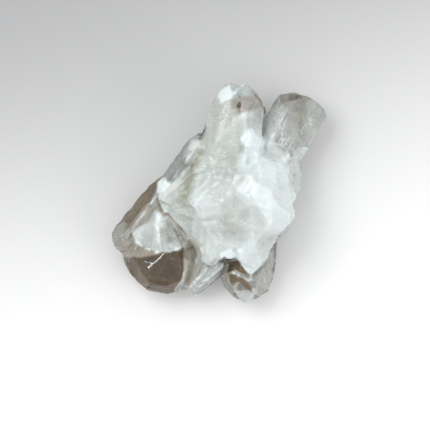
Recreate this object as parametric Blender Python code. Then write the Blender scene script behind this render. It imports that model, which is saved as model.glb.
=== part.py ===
"""A clear quartz cluster: points of rock crystal grown together round a milky broken root.

It is one stone, so it is one solid. Each point is a block cut by flat planes, and each lump of
the root is a ball chipped by flat and by shallow hollow breaks, as quartz chips. All of them are
joined in one Boolean union. Lengths are in millimetres until the mesh is made.

The cluster lies on its back: +Z is the milky side, +X its right and +Y its upper end.
"""

import math

import bmesh
import bpy
import numpy as np
from mathutils import Vector

# Driving dimensions, in millimetres and degrees
MM = 0.001
BLOCK = 200.0  # the block that each point is cut from
CHIP_DETAIL = 6  # subdivisions of the ball that a lump is chipped from
CHIP_DEPTH = (0.25, 0.75)  # shallowest and deepest of the small shell-shaped chips
CHIP_RADIUS = (11.0, 26.0)  # their radii of curvature
GOLDEN_ANGLE = 137.508  # spreads the chips evenly round a lump

# Each point of crystal. Its outline is what shows from above, anticlockwise: x, y, and how far the
# faces above and below the edge that starts there lean from upright. The outline lies on a middle
# plane, at the height `level` over the origin and rising by `rise` along x and y, and the point
# reaches `top` above that plane and `bottom` below it. Cuts are more faces and broken corners: the
# compass angle and height angle that a face looks to, then a point on it.
POINTS = {
    "upper": dict(
        outline=(
            (11.6, -2.0, 30), (12.7, 23.2, 25), (12.0, 26.4, 25), (10.4, 28.5, 22),
            (7.8, 30.8, 30), (4.6, 30.2, 30), (-1.2, 21.0, 30), (-3.6, 2.0, 0),
        ),
        level=16.0, rise=(0.0, 0.0), top=8.8, bottom=7.0,
        cuts=((72, 46, 8.4, 26.4, 21.6), (34, 52, 10.6, 22.0, 22.8), (80, -50, 8.0, 27.0, 11.6)),
    ),
    "upper_twin": dict(
        outline=(
            (8.0, -1.0, 30), (7.0, 26.0, 24), (5.3, 30.1, 28), (3.9, 30.9, 34), (1.7, 30.6, 26),
            (-1.0, 26.8, 28), (-2.8, 23.4, 30), (-5.2, 15.8, 30), (-4.6, 2.0, 0),
        ),
        level=18.2, rise=(0.0, 0.0), top=6.0, bottom=6.0,
        cuts=((150, 52, -0.8, 24.4, 22.0), (76, 54, 3.2, 28.0, 22.2), (168, 62, -3.0, 16.0, 22.6)),
    ),
    "upper_right": dict(
        outline=(
            (13.4, -8.0, 30), (22.9, 8.4, 30), (30.5, 21.6, 30), (29.8, 23.6, 25), (27.9, 25.9, 25),
            (25.2, 27.7, 28), (20.9, 28.8, 32), (17.2, 28.0, 30), (15.3, 25.6, 30), (4.4, 6.0, 0),
        ),
        level=13.0, rise=(-0.06, -0.1), top=7.2, bottom=6.0,
        cuts=(
            (58, 42, 25.0, 23.4, 15.4), (110, 50, 19.0, 25.0, 16.0), (8, 50, 26.6, 18.0, 13.6),
            (60, -50, 24.0, 22.0, 4.8),
        ),
    ),
    "right": dict(
        outline=(
            (19.0, -5.0, 28), (21.9, -1.0, 24), (23.5, 1.4, 26), (24.0, 4.8, 30), (23.2, 9.4, 26),
            (20.6, 12.4, 28), (16.0, 11.0, 30), (14.0, -3.0, 0),
        ),
        level=12.0, rise=(0.0, -0.05), top=6.0, bottom=4.4,
        cuts=((10, 52, 22.2, 3.0, 15.8), (80, 46, 20.8, 9.6, 15.2)),
    ),
    "left_upper": dict(
        outline=(
            (-2.4, 17.2, 26), (-5.4, 17.1, 28), (-8.9, 14.9, 30), (-14.2, 7.4, 30),
            (-17.2, 3.2, 30), (-18.0, -1.0, 0), (-12.0, -4.0, 0), (0.0, 10.0, 0),
        ),
        level=17.0, rise=(0.03, 0.05), top=4.4, bottom=6.0,
        cuts=((128, 58, -9.0, 10.6, 21.4), (60, 50, -4.4, 14.8, 21.0)),
    ),
    "left": dict(
        outline=(
            (-4.0, 11.0, 0), (-15.4, 5.6, 30), (-20.3, 1.8, 32), (-29.3, -9.2, 28),
            (-30.5, -11.4, 24), (-30.0, -14.8, 24), (-28.2, -16.8, 26), (-24.2, -17.2, 30),
            (-6.0, 2.0, 0),
        ),
        level=11.6, rise=(0.08, 0.1), top=4.6, bottom=5.4,
        cuts=((138, 62, -22.4, -4.6, 14.0), (210, 46, -27.6, -13.6, 12.6), (215, -40, -26.0, -14.0, 4.6)),
    ),
    "smoky": dict(
        outline=(
            (-3.6, -12.0, 0), (-14.0, -4.0, 0), (-27.0, -11.0, 34), (-28.3, -16.4, 30),
            (-26.9, -19.2, 26), (-26.2, -21.8, 24), (-22.9, -25.1, 22), (-20.2, -27.4, 24),
            (-14.6, -28.4, 26), (-10.4, -27.5, 10),
        ),
        level=7.8, rise=(0.0, 0.02), top=6.2, bottom=6.6,
        cuts=((2, 50, -10.6, -22.0, 13.2), (262, 50, -16.0, -26.4, 11.8), (206, 48, -25.2, -20.6, 11.4)),
    ),
    "ribbed": dict(
        outline=(
            (9.0, -12.0, 0), (2.0, -6.0, 30), (-3.9, -14.4, 30), (-10.3, -25.4, 26),
            (-10.5, -27.3, 24), (-7.2, -28.6, 24), (-5.2, -28.3, 30), (0.5, -23.5, 30),
            (5.2, -18.0, 30),
        ),
        level=12.2, rise=(0.12, 0.16), top=5.0, bottom=4.4,
        cuts=((300, 62, -1.0, -20.0, 16.2), (235, 44, -7.2, -26.0, 12.0)),
    ),
    "lower": dict(
        outline=(
            (17.4, -6.0, 0), (1.4, -8.0, 34), (0.4, -23.6, 30), (1.6, -26.7, 26), (4.7, -29.8, 24),
            (7.4, -30.9, 22), (10.4, -29.8, 24), (13.9, -27.7, 32), (15.3, -24.1, 34),
            (16.6, -17.9, 34), (16.9, -14.4, 34),
        ),
        level=10.0, rise=(0.0, 0.1), top=7.8, bottom=6.6,
        cuts=((246, 36, 6.6, -26.6, 14.0), (296, 34, 11.8, -26.4, 13.2), (268, -44, 8.0, -26.0, 1.6)),
    ),
    "keel": dict(
        outline=(
            (12.4, -14.0, 26), (14.6, 4.0, 26), (10.4, 15.6, 22), (2.0, 18.8, 22), (-7.6, 13.0, 26),
            (-15.4, -2.0, 26), (-12.8, -13.4, 22), (-1.0, -19.2, 22),
        ),
        level=6.6, rise=(0.0, 0.0), top=8.0, bottom=6.6, cuts=(),
    ),
    "back_upper": dict(
        outline=(
            (8.0, 2.0, 30), (14.0, 20.4, 24), (13.0, 25.0, 24), (8.2, 23.4, 30), (0.0, 6.0, 0),
        ),
        level=7.0, rise=(0.0, -0.04), top=5.0, bottom=4.2, cuts=(),
    ),
    "back_right": dict(
        outline=(
            (8.0, -8.0, 30), (17.6, -12.6, 24), (20.4, -10.2, 24), (18.8, -4.6, 30), (8.0, 2.0, 0),
        ),
        level=8.4, rise=(-0.1, 0.0), top=4.6, bottom=4.2, cuts=(),
    ),
    "back_left": dict(
        outline=(
            (-6.0, 8.0, 30), (-17.4, 1.4, 24), (-20.4, -3.6, 24), (-17.6, -7.6, 30), (-5.0, -2.0, 0),
        ),
        level=6.4, rise=(0.05, 0.0), top=5.0, bottom=4.4, cuts=(),
    ),
    "back_lower": dict(
        outline=(
            (-5.0, -8.0, 30), (-5.0, -20.8, 24), (-1.6, -24.6, 24), (2.2, -22.0, 30), (5.0, -8.0, 0),
        ),
        level=6.2, rise=(0.0, 0.06), top=5.0, bottom=4.2, cuts=(),
    ),
}

# Each lump of the milky root: its middle, how far it goes below that, its outline as above at the
# height of its middle, the large breaks on its top, how many small chips it has all round, and how
# many triangles it keeps. A break is the compass angle and height angle that it looks to, a point
# on it, and its radius of curvature: 0 for a flat one, above zero for a bulge and below zero for a
# hollow, shell-shaped one.
LUMPS = {
    "root_right": dict(
        middle=(11.0, -1.0, 18.0), bottom=8.0, chips=34, faces=2400,
        outline=(
            (12.0, -19.5, 34), (19.2, -11.2, 24), (22.1, -6.4, 24), (21.6, 0.0, 34), (18.8, 11.0, 40),
            (12.6, 14.8, 36), (1.0, 13.0, 20), (-2.0, -8.0, 20), (6.0, -18.4, 34),
        ),
        breaks=(
            (20, 66, 16.0, 2.0, 27.6, 0), (75, 60, 12.0, 10.0, 27.6, -40), (-40, 62, 15.0, -9.0, 25.6, -36),
            (0, 86, 10.0, 2.0, 29.6, 0), (200, 66, 4.0, -1.0, 27.8, -34), (-95, 66, 9.0, -10.0, 25.8, -30),
            (-12, 48, 19.4, -4.0, 23.6, 0), (45, 48, 17.6, 8.0, 24.6, -26), (150, 62, 3.0, 9.0, 27.4, 0),
        ),
    ),
    "root_left": dict(
        middle=(-5.6, 0.0, 16.5), bottom=7.0, chips=26, faces=1700,
        outline=(
            (-12.2, -9.8, 28), (2.0, -10.5, 15), (8.0, 0.0, 10), (5.0, 15.0, 30), (-5.0, 12.4, 30),
            (-16.2, 1.0, 26), (-17.3, -2.6, 24), (-15.4, -6.4, 28),
        ),
        breaks=(
            (140, 54, -9.4, 5.4, 22.0, 0), (200, 52, -14.0, -3.4, 20.6, -20), (150, 72, -5.0, 3.0, 25.4, -26),
            (-60, 78, -2.0, 0.0, 26.4, 0), (240, 62, -9.6, -6.4, 21.6, -18), (262, 68, -3.6, -6.4, 23.8, 0),
            (60, 80, -1.0, 7.0, 26.6, -30), (175, 76, -10.0, 0.4, 23.6, 0),
        ),
    ),
    "root_lower": dict(
        middle=(-0.6, -11.0, 15.0), bottom=6.0, chips=22, faces=1300,
        outline=(
            (-2.4, -20.9, 28), (5.2, -18.6, 32), (10.0, -13.0, 15), (8.0, 2.0, 10), (-8.0, -3.0, 15),
            (-11.0, -9.6, 28), (-5.8, -19.2, 26),
        ),
        breaks=(
            (215, 58, -7.2, -12.0, 19.6, 0), (250, 64, -3.0, -15.0, 20.6, -18), (290, 60, 2.0, -15.4, 20.6, 0),
            (180, 70, -4.0, -9.0, 22.4, -20), (340, 72, 3.6, -11.0, 22.8, 0), (256, 46, -3.4, -18.6, 18.2, 0),
            (60, 84, 0.0, -8.0, 23.4, -30),
        ),
    ),
    "tongue": dict(
        middle=(10.4, -13.4, 16.4), bottom=6.0, chips=12, faces=700,
        outline=(
            (9.0, -23.6, 34), (13.0, -19.2, 36), (17.0, -14.2, 36), (16.0, -6.0, 15), (5.0, -7.0, 10),
            (4.2, -17.6, 34),
        ),
        breaks=(
            (264, 56, 8.8, -19.6, 20.6, 0), (300, 66, 12.6, -15.0, 23.0, -26), (236, 66, 6.6, -15.0, 22.8, 0),
            (280, 78, 10.0, -13.0, 24.8, 0),
        ),
    ),
    "brow": dict(
        middle=(8.6, 13.6, 20.0), bottom=6.0, chips=6, faces=300,
        outline=(
            (12.2, 9.0, 26), (13.0, 14.6, 26), (10.8, 18.4, 22), (7.2, 20.2, 24), (4.6, 17.4, 26),
            (3.4, 11.0, 30), (6.0, 7.0, 36),
        ),
        breaks=(
            (70, 58, 9.6, 16.8, 27.6, 0), (160, 62, 6.0, 14.6, 28.2, 0), (10, 58, 11.2, 12.8, 28.4, 0),
            (300, 78, 9.0, 12.0, 29.8, 0),
        ),
    ),
    "fan": dict(
        middle=(-16.4, -10.2, 12.6), bottom=6.0, chips=0, faces=700,
        outline=(
            (-10.6, -16.2, 26), (-5.6, -14.6, 26), (-4.0, -8.0, 30), (-12.0, 1.0, 30),
            (-17.6, -0.6, 30), (-24.0, -9.6, 34), (-26.4, -13.0, 34), (-24.6, -15.0, 26),
            (-20.8, -16.8, 22), (-16.2, -17.2, 22),
        ),
        breaks=(
            (250, 66, -17.6, -10.0, 17.4, 26), (300, 58, -12.0, -13.0, 16.4, -18), (232, 50, -22.0, -13.6, 14.4, 0),
            (272, 44, -16.6, -16.0, 14.6, 20), (196, 58, -22.4, -9.6, 15.4, 0), (140, 66, -17.6, -5.6, 18.2, 0),
            (20, 60, -11.0, -8.0, 18.2, 0),
        ),
    ),
}


def clear_scene():
    for old in list(bpy.data.objects):
        bpy.data.objects.remove(old, do_unlink=True)


def facing(compass, height):
    """The unit vector that points that way: compass angle in the plan, then angle above it."""
    a, e = math.radians(compass), math.radians(height)
    return Vector((math.cos(e) * math.cos(a), math.cos(e) * math.sin(a), math.sin(e)))


def walls(outline, level, rise):
    """The planes above and below each edge of an outline, as pairs of a normal and a point."""
    upward = Vector((-rise[0], -rise[1], 1.0)).normalized()
    corners = [Vector((x, y, level + rise[0] * x + rise[1] * y)) for x, y, _ in outline]
    planes = []
    for k, (_, _, lean) in enumerate(outline):
        start, end = corners[k], corners[(k + 1) % len(corners)]
        outward = (end - start).cross(upward).normalized()
        a = math.radians(lean)
        planes.append((outward * math.cos(a) + upward * math.sin(a), start))
        planes.append((outward * math.cos(a) - upward * math.sin(a), start))
    return planes


def slice_off(bm, normal, point):
    """Cuts away what lies past a plane, and closes the cut with one flat face."""
    everything = bm.verts[:] + bm.edges[:] + bm.faces[:]
    cut = bmesh.ops.bisect_plane(
        bm, geom=everything, plane_co=point, plane_no=normal, clear_outer=True, dist=1e-5
    )
    rim = [part for part in cut["geom_cut"] if isinstance(part, bmesh.types.BMEdge)]
    if rim:
        bmesh.ops.edgeloop_fill(bm, edges=rim)


def quartz_point(outline, level, rise, top, bottom, cuts):
    """A crystal, cut from a block by its top and bottom, its walls, and then its other faces."""
    upward = Vector((-rise[0], -rise[1], 1.0)).normalized()
    middle = Vector((0, 0, level))
    planes = [(upward, middle + upward * top), (-upward, middle - upward * bottom)]
    planes += walls(outline, level, rise)
    planes += [(facing(compass, height), Vector((x, y, z))) for compass, height, x, y, z in cuts]
    bm = bmesh.new()
    bmesh.ops.create_cube(bm, size=BLOCK)
    for normal, point in planes:
        slice_off(bm, normal, point)
    bmesh.ops.recalc_face_normals(bm, faces=bm.faces[:])
    return bm


def reaches(ways, middle, normal, point, curve):
    """How far along each ray from its middle one break lets a lump reach, or infinity."""
    if curve == 0:
        slant = ways @ np.array(normal)
        gap = normal.dot(point - middle)
        return np.where(slant > 1e-6, gap / np.maximum(slant, 1e-6), np.inf)
    centre = point - normal * curve - middle
    lean = ways @ np.array(centre)
    under = lean * lean - centre.length_squared + curve * curve
    met = lean + math.copysign(1.0, curve) * np.sqrt(np.maximum(under, 0))
    return np.where((under > 0) & (met > 0), met, np.inf)


def small_chips(middle, breaks, count):
    """Shell-shaped chips spread all round a lump, each sunk a little into its large breaks."""
    chips = []
    for k in range(count):
        height = math.degrees(math.asin(1 - 2 * (k + 0.5) / count))
        way = facing(k * GOLDEN_ANGLE, height)
        surface = min(float(reaches(np.array([way]), middle, *face)[0]) for face in breaks)
        depth = CHIP_DEPTH[0] + (CHIP_DEPTH[1] - CHIP_DEPTH[0]) * ((k * 7) % 11) / 10
        radius = CHIP_RADIUS[0] + (CHIP_RADIUS[1] - CHIP_RADIUS[0]) * ((k * 5) % 7) / 6
        chips.append((way, middle + way * (surface - depth), -radius))
    return chips


def chipped_lump(middle, bottom, outline, breaks, chips):
    """A ball whose every point is moved in to the first break that its ray meets."""
    middle = Vector(middle)
    faces = [(Vector((0, 0, -1)), middle - Vector((0, 0, bottom)), 0)]
    faces += [(normal, point, 0) for normal, point in walls(outline, middle.z, (0, 0))]
    faces += [
        (facing(compass, height), Vector((x, y, z)), curve) for compass, height, x, y, z, curve in breaks
    ]
    faces += small_chips(middle, faces, chips)
    bm = bmesh.new()
    bmesh.ops.create_icosphere(bm, subdivisions=CHIP_DETAIL, radius=1.0)
    ways = np.array([vert.co.normalized() for vert in bm.verts])
    reach = np.min([reaches(ways, middle, *face) for face in faces], axis=0)
    for vert, way, length in zip(bm.verts, ways, reach):
        vert.co = middle + Vector(way) * float(length)
    return bm


def as_object(name, bm, collection):
    """A mesh object, in metres, from lengths in millimetres."""
    bmesh.ops.scale(bm, vec=(MM, MM, MM), verts=bm.verts[:])
    mesh = bpy.data.meshes.new(name)
    bm.to_mesh(mesh)
    bm.free()
    made = bpy.data.objects.new(name, mesh)
    collection.objects.link(made)
    return made


def thinned(lump, faces):
    """Keeps a lump's ridges, and takes out the small triangles between them."""
    decimate = lump.modifiers.new("Thin", "DECIMATE")
    decimate.ratio = faces / len(lump.data.polygons)


def quartz_material():
    material = bpy.data.materials.new("clear_quartz")
    material.use_nodes = True
    shader = material.node_tree.nodes["Principled BSDF"]
    shader.inputs["Base Color"].default_value = (0.86, 0.89, 0.88, 1.0)
    shader.inputs["Roughness"].default_value = 0.12
    shader.inputs["Metallic"].default_value = 0.0
    shader.inputs["IOR"].default_value = 1.544
    shader.inputs["Transmission Weight"].default_value = 0.6
    return material


def main():
    clear_scene()
    scene = bpy.context.scene
    finished = bpy.data.collections.new("quartz_cluster")
    pieces = bpy.data.collections.new("pieces_joined")
    for collection in (finished, pieces):
        scene.collection.children.link(collection)

    for name, size in POINTS.items():
        as_object(name, quartz_point(**size), pieces)
    for name, size in LUMPS.items():
        faces = size.pop("faces")
        thinned(as_object(name, chipped_lump(**size), pieces), faces)
    for piece in pieces.objects:
        piece.hide_render = True
        piece.display_type = "WIRE"

    keel = pieces.objects["keel"]
    cluster = bpy.data.objects.new("quartz_cluster", keel.data.copy())
    finished.objects.link(cluster)
    for piece in pieces.objects:
        if piece is keel:
            continue
        join = cluster.modifiers.new(piece.name, "BOOLEAN")
        join.operation = "UNION"
        join.object = piece
    cluster.data.materials.append(quartz_material())


main()
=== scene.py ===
import math

import bmesh
import bpy
import numpy as np
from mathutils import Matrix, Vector, kdtree, noise
from mathutils.bvhtree import BVHTree


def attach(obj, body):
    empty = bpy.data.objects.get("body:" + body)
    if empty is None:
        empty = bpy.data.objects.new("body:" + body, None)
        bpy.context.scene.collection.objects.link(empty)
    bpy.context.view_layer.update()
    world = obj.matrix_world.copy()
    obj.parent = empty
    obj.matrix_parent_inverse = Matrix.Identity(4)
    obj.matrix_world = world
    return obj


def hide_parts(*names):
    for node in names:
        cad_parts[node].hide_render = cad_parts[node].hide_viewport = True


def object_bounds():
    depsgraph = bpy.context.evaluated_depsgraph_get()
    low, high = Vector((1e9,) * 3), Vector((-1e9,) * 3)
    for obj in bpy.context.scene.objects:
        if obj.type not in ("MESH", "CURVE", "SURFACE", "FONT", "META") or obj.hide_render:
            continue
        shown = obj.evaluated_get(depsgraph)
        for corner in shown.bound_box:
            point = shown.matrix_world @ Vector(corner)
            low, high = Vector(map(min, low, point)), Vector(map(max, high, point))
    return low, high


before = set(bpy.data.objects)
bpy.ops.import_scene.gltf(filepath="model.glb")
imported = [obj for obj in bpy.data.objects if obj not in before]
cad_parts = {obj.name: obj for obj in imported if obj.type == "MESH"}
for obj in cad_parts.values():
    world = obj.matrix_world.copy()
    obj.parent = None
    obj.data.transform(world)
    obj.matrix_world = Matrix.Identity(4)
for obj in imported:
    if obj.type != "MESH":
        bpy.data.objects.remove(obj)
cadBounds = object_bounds()
scene = bpy.context.scene
mm = 0.001

# The camera, the sky and the floor, in metres
studio = {
    "pixel": 0.28 * mm,  # size of one picture pixel at the object
    "picture": 430,
    "originPixel": (219, 193.5),  # the picture pixel over the object's origin
    "cameraHeight": 1.0,
    "focusHeight": 0.018,  # the height at which the pixel size holds
    "sensor": 36,  # in millimetres
    "skyLow": (0.30, 0.295, 0.285, 1),
    "skyHigh": (0.66, 0.67, 0.68, 1),
    "skyTop": 0.8,  # where the upper colour is reached, from 0 at the horizon to 1 overhead
    "skyStrength": 1.35,
    "floorSize": 0.8,
    "floorDrop": 0.1 * mm,  # keeps the floor and the flat base out of one plane
    # The floor's colour goes from floorNear to floorFar across the picture: painted shade for light falling
    # off over the floor
    "floorNear": (0.93, 0.93, 0.925, 1),
    "floorFar": (0.385, 0.385, 0.39, 1),
    "floorTurn": 0.28,  # how far the shading of the floor leans to the right
    "floorFade": (-0.06, 0.09),
    "floorCloud": 0.01,
    "floorRoughness": 0.8,
}
lights = {
    "keyLight": dict(place=(-0.34, 0.26, 0.62), size=(0.5, 0.4), power=2.4, colour=(1, 1, 1)),
    "fillLight": dict(place=(0.5, -0.2, 0.35), size=(0.4, 0.3), power=0.8, colour=(1, 0.98, 0.95)),
}
lightAim = (0, 0, 0.015)


class Wire:
    # A shader socket that can stand in a sum
    def __init__(self, maker, socket):
        self.maker = maker
        self.socket = socket

    def maths(self, operation, other):
        return self.maker.add("ShaderNodeMath", {"operation": operation}, {0: self, 1: other})

    def __add__(self, other):
        return self.maths("ADD", other)

    def __mul__(self, other):
        return self.maths("MULTIPLY", other)

    def __sub__(self, other):
        return self.maths("SUBTRACT", other)

    def within(self, low, high):
        # 0 at low, 1 at high, and smooth between
        settings = {"interpolation_type": "SMOOTHSTEP"}
        return self.maker.add("ShaderNodeMapRange", settings, {0: self, 1: low, 2: high, 3: 0.0, 4: 1.0})


class Maker:
    # Builds the nodes of one tree
    def __init__(self, tree):
        self.tree = tree
        tree.nodes.clear()

    def add(self, kind, settings=None, values=None, output=0):
        node = self.tree.nodes.new(kind)
        for name, value in (settings or {}).items():
            if name == "stops":
                self.setStops(node.color_ramp, value)
            else:
                setattr(node, name, value)
        for key, value in (values or {}).items():
            if isinstance(value, Wire):
                self.tree.links.new(value.socket, node.inputs[key])
            else:
                node.inputs[key].default_value = value
        return Wire(self, node.outputs[output]) if node.outputs else node

    def setStops(self, ramp, stops):
        for k, (place, colour) in enumerate(stops):
            stop = ramp.elements[k] if k < len(ramp.elements) else ramp.elements.new(place)
            stop.position = place
            stop.color = colour

    def place(self):
        return self.add("ShaderNodeTexCoord", output="Object")

    def attribute(self, name, output="Fac"):
        return self.add("ShaderNodeAttribute", {"attribute_name": name}, output=output)

    def split(self, vector):
        node = self.add("ShaderNodeSeparateXYZ", {}, {0: vector}).socket.node
        return [Wire(self, socket) for socket in node.outputs]

    def noise(self, place, scale, detail, roughness=0.55, distortion=0.0):
        values = {"Vector": place, "Scale": scale, "Detail": detail}
        values |= {"Roughness": roughness, "Distortion": distortion}
        return self.add("ShaderNodeTexNoise", {}, values)

    def stretch(self, place, factors):
        return self.add("ShaderNodeVectorMath", {"operation": "MULTIPLY"}, {0: place, 1: factors})

    def blend(self, factor, first, second):
        return self.add("ShaderNodeMix", {"data_type": "RGBA"}, {0: factor, 6: first, 7: second}, output=2)

    def bump(self, height, strength, depth):
        return self.add("ShaderNodeBump", {}, {"Height": height, "Strength": strength, "Distance": depth})

    def finish(self, surface):
        self.add("ShaderNodeOutputMaterial", {}, {"Surface": surface})


def newMaterial(name):
    material = bpy.data.materials.new(name)
    material.use_nodes = True
    return material, Maker(material.node_tree)


def newObject(name, data):
    made = bpy.data.objects.new(name, data)
    scene.collection.objects.link(made)
    return made


def builtMesh(holder):
    # The mesh that an object's modifiers make, in place of the object
    graph = bpy.context.evaluated_depsgraph_get()
    mesh = bpy.data.meshes.new_from_object(holder.evaluated_get(graph))
    bpy.data.objects.remove(holder)
    return mesh


# Each crystal of the cluster, in millimetres: the foot and tip of its axis, its radius, how milky it
# is at its foot and tip, how smoky, and how strong the fibres along it are
crystals = {
    "upper": dict(foot=(4.4, 6, 18.5), tip=(4.8, 31, 17.5), radius=8.6, milk=(0.9, 0.5)),
    "upperRight": dict(foot=(10, 1, 13), tip=(25, 28, 10), radius=8, milk=(0.6, 0.4), smoke=0.18, fibre=0.3),
    "right": dict(foot=(17, -3, 12), tip=(21.6, 10, 12), radius=5, milk=(0.72, 0.6), fibre=0.6),
    "leftUpper": dict(
        foot=(-2, 14, 17), tip=(-17, 1, 16), radius=5.6, milk=(0.52, 0.46), smoke=0.14, fibre=0.2,
    ),
    "left": dict(
        foot=(-12, 3, 12), tip=(-29.5, -15, 8.5), radius=6, milk=(0.35, 0.35), smoke=0.35, fibre=0.2,
    ),
    # The smoky crystal's brown is partly its own smoky colour and partly painted shadow
    "smoky": dict(foot=(-13, -10, 8), tip=(-20, -27, 6), radius=9, milk=(0.5, 0.5), smoke=1),
    "ribbed": dict(
        foot=(2, -9, 13), tip=(-8.4, -28.4, 8), radius=5.4, milk=(0.62, 0.55), smoke=0.05, fibre=1,
    ),
    "lower": dict(foot=(8.4, -9, 10), tip=(7.4, -31, 8), radius=8.4, milk=(0.3, 0.2), smoke=0.12, fibre=0.3),
    "keel": dict(foot=(0, -10, 3), tip=(0, 12, 3), radius=9, milk=(0.4, 0.4), smoke=0.05, fibre=0.4),
    "backUpper": dict(foot=(6, 8, 5), tip=(12, 25, 5), radius=6, milk=(0.4, 0.2), fibre=0.6),
    "backRight": dict(foot=(8, -2, 6), tip=(21, -9, 6), radius=6, milk=(0.7, 0.6), fibre=0.6),
    "backLeft": dict(foot=(-6, 1, 5), tip=(-20.4, -4, 5), radius=6, milk=(0.4, 0.2), smoke=0.05, fibre=0.6),
    "backLower": dict(foot=(0, -10, 5), tip=(-2, -25, 5), radius=5, milk=(0.4, 0.2), smoke=0.05, fibre=0.6),
}

# The border of the milky root, seen from above
rootBorder = (
    (12, 17.8), (16, 13.3), (19.3, 9.4), (20.7, 4.3), (21.8, -1.8), (22.1, -6.9), (20.4, -10.2),
    (16.8, -14.4), (12.9, -19.2), (9, -23.4), (7, -20.9), (5, -18.3), (1.1, -18.1), (-2, -20.6),
    (-4.8, -19.2), (-5.9, -15.8), (-9.2, -12.5), (-13.2, -8), (-16.5, -3.8), (-17.1, -0.7),
    (-13.7, 2.7), (-8.7, 6.6), (-4.5, 11.6), (-2, 16.4), (5.9, 19.2),
)
rootEdge = {
    "milk": 0.97,
    "blur": 0.3,  # the border is crisp at the front
    "softer": (-2, 10),  # and goes soft over this stretch of y, towards the upper crystal
    "wander": 0.8,
    "height": (10, 13),  # the root fades out downwards between these heights
}

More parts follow.
